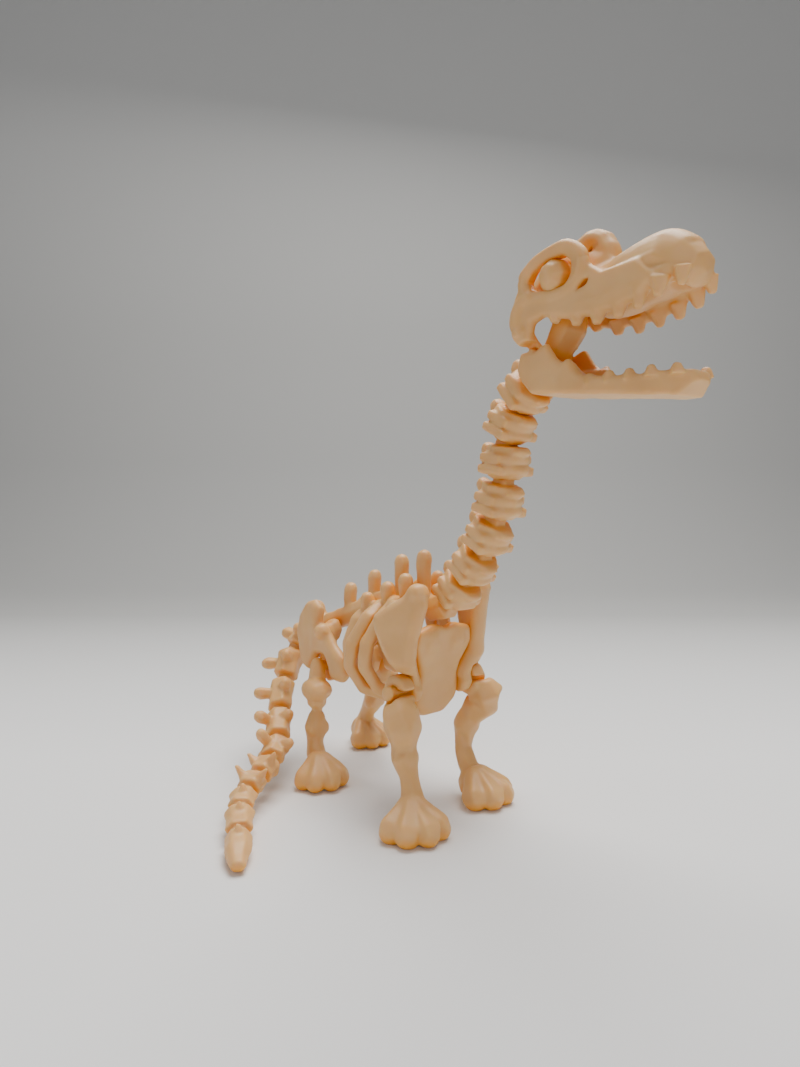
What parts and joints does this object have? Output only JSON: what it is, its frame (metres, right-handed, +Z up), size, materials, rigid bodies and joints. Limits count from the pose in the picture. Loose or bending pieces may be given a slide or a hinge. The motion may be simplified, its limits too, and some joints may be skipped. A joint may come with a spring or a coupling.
{
  "type": "articulated toy dinosaur skeleton",
  "caption": "Long-necked toy dinosaur skeleton in matte plastic, standing on four feet, with hinged links in neck and tail, hooked legs, an opening jaw and the tail curled on the floor.",
  "frame": {"origin": "on the floor, below the middle of the toy's bounding box", "axes": "+X to the front of the animal, +Y to its left, +Z up"},
  "size_m": [0.1904, 0.1074, 0.1772],
  "materials": {
    "bone_plastic": "satin printed plastic, peach cream, fine layer lines",
    "eye_plastic": "satin printed plastic, peach cream, smooth"
  },
  "bodies": {
    "torso": {"spine": "bone_plastic", "rib_cage_left": "bone_plastic", "rib_cage_right": "bone_plastic", "breastplate": "bone_plastic", "hip_bone_left": "bone_plastic", "hip_bone_right": "bone_plastic"},
    "neck_1": {"neck_link_1": "bone_plastic"},
    "neck_2": {"neck_link_2": "bone_plastic"},
    "neck_3": {"neck_link_3": "bone_plastic"},
    "neck_4": {"neck_link_4": "bone_plastic"},
    "neck_5": {"neck_link_5": "bone_plastic"},
    "neck_6": {"neck_link_6": "bone_plastic"},
    "neck_7": {"neck_link_7": "bone_plastic"},
    "head": {"skull": "bone_plastic", "eye_left": "eye_plastic", "eye_right": "eye_plastic"},
    "jaw": {"jaw": "bone_plastic"},
    "front_leg_left": {"front_leg_left": "bone_plastic"},
    "front_leg_right": {"front_leg_right": "bone_plastic"},
    "rear_leg_left": {"rear_leg_left": "bone_plastic"},
    "rear_leg_right": {"rear_leg_right": "bone_plastic"},
    "tail_1": {"tail_link_1": "bone_plastic"},
    "tail_2": {"tail_link_2": "bone_plastic"},
    "tail_3": {"tail_link_3": "bone_plastic"},
    "tail_4": {"tail_link_4": "bone_plastic"},
    "tail_5": {"tail_link_5": "bone_plastic"},
    "tail_6": {"tail_link_6": "bone_plastic"},
    "tail_7": {"tail_link_7": "bone_plastic"},
    "tail_8": {"tail_link_8": "bone_plastic"},
    "tail_9": {"tail_link_9": "bone_plastic"},
    "tail_10": {"tail_link_10": "bone_plastic"}
  },
  "joints": [
    {"name": "neck_joint_1", "type": "hinge", "parent": "torso", "child": "neck_1", "pos_m": [0.00802, 0.02356, 0.0738], "axis": [0, -1, 0], "range_deg": [-6, 6]},
    {"name": "neck_joint_2", "type": "hinge", "parent": "neck_1", "child": "neck_2", "pos_m": [0.01522, 0.02356, 0.0822], "axis": [0, -1, 0], "range_deg": [-6, 6]},
    {"name": "neck_joint_3", "type": "hinge", "parent": "neck_2", "child": "neck_3", "pos_m": [0.02242, 0.02356, 0.0914], "axis": [0, -1, 0], "range_deg": [-6, 6]},
    {"name": "neck_joint_4", "type": "hinge", "parent": "neck_3", "child": "neck_4", "pos_m": [0.02742, 0.02356, 0.102], "axis": [0, -1, 0], "range_deg": [-6, 6]},
    {"name": "neck_joint_5", "type": "hinge", "parent": "neck_4", "child": "neck_5", "pos_m": [0.03032, 0.02356, 0.114], "axis": [0, -1, 0], "range_deg": [-6, 6]},
    {"name": "neck_joint_6", "type": "hinge", "parent": "neck_5", "child": "neck_6", "pos_m": [0.03182, 0.02356, 0.1256], "axis": [0, -1, 0], "range_deg": [-6, 6]},
    {"name": "neck_joint_7", "type": "hinge", "parent": "neck_6", "child": "neck_7", "pos_m": [0.03662, 0.02356, 0.1354], "axis": [0, -1, 0], "range_deg": [-6, 6]},
    {"name": "neck_joint_8", "type": "hinge", "parent": "neck_7", "child": "head", "pos_m": [0.04442, 0.02356, 0.142], "axis": [0, -1, 0], "range_deg": [-6, 6]},
    {"name": "jaw_hinge", "type": "hinge", "parent": "head", "child": "jaw", "pos_m": [0.04802, 0.02356, 0.1465], "axis": [0, 1, 0], "range_deg": [-8, 4]},
    {"name": "shoulder_left", "type": "hinge", "parent": "torso", "child": "front_leg_left", "pos_m": [-0.00118, 0.03926, 0.0424], "axis": [0, 1, 0], "range_deg": [-10, 10]},
    {"name": "hip_left", "type": "hinge", "parent": "torso", "child": "rear_leg_left", "pos_m": [-0.05278, 0.03756, 0.0415], "axis": [0, 1, 0], "range_deg": [-10, 10]},
    {"name": "shoulder_right", "type": "hinge", "parent": "torso", "child": "front_leg_right", "pos_m": [-0.00118, 0.00786, 0.0424], "axis": [0, 1, 0], "range_deg": [-10, 10]},
    {"name": "hip_right", "type": "hinge", "parent": "torso", "child": "rear_leg_right", "pos_m": [-0.05278, 0.00956, 0.0415], "axis": [0, 1, 0], "range_deg": [-10, 10]},
    {"name": "tail_joint_1", "type": "hinge", "parent": "torso", "child": "tail_1", "pos_m": [-0.08398, 0.02356, 0.0485], "axis": [0.1012, 0.6902, -0.7165], "range_deg": [-3, 4]},
    {"name": "tail_joint_2", "type": "hinge", "parent": "tail_1", "child": "tail_2", "pos_m": [-0.08278, 0.01456, 0.04], "axis": [-0.2405, 0.6703, -0.7021], "range_deg": [-3, 4]},
    {"name": "tail_joint_3", "type": "hinge", "parent": "tail_2", "child": "tail_3", "pos_m": [-0.07648, 0.00656, 0.0297], "axis": [-0.4934, 0.3928, -0.776], "range_deg": [-3, 4]},
    {"name": "tail_joint_4", "type": "hinge", "parent": "tail_3", "child": "tail_4", "pos_m": [-0.06548, -0.00164, 0.0208], "axis": [-0.5319, -0.0198, -0.8466], "range_deg": [-3, 4]},
    {"name": "tail_joint_5", "type": "hinge", "parent": "tail_4", "child": "tail_5", "pos_m": [-0.05248, -0.00964, 0.015], "axis": [-0.5007, -0.17, -0.8488], "range_deg": [-3, 4]},
    {"name": "tail_joint_6", "type": "hinge", "parent": "tail_5", "child": "tail_6", "pos_m": [-0.04418, -0.01744, 0.0114], "axis": [-0.1736, 0.2093, -0.9623], "range_deg": [-3, 4]},
    {"name": "tail_joint_7", "type": "hinge", "parent": "tail_6", "child": "tail_7", "pos_m": [-0.03938, -0.02544, 0.0092], "axis": [-0.1156, 0.1745, -0.9778], "range_deg": [-3, 4]},
    {"name": "tail_joint_8", "type": "hinge", "parent": "tail_7", "child": "tail_8", "pos_m": [-0.03438, -0.03224, 0.0076], "axis": [-0.1153, 0.1062, -0.9876], "range_deg": [-3, 4]},
    {"name": "tail_joint_9", "type": "hinge", "parent": "tail_8", "child": "tail_9", "pos_m": [-0.02548, -0.03824, 0.0062], "axis": [-0.11, 0.0645, -0.9918], "range_deg": [-3, 4]},
    {"name": "tail_joint_10", "type": "hinge", "parent": "tail_9", "child": "tail_10", "pos_m": [-0.01358, -0.04444, 0.0045], "axis": [-0.1115, 0.0581, -0.9921], "range_deg": [-3, 4]}
  ]
}
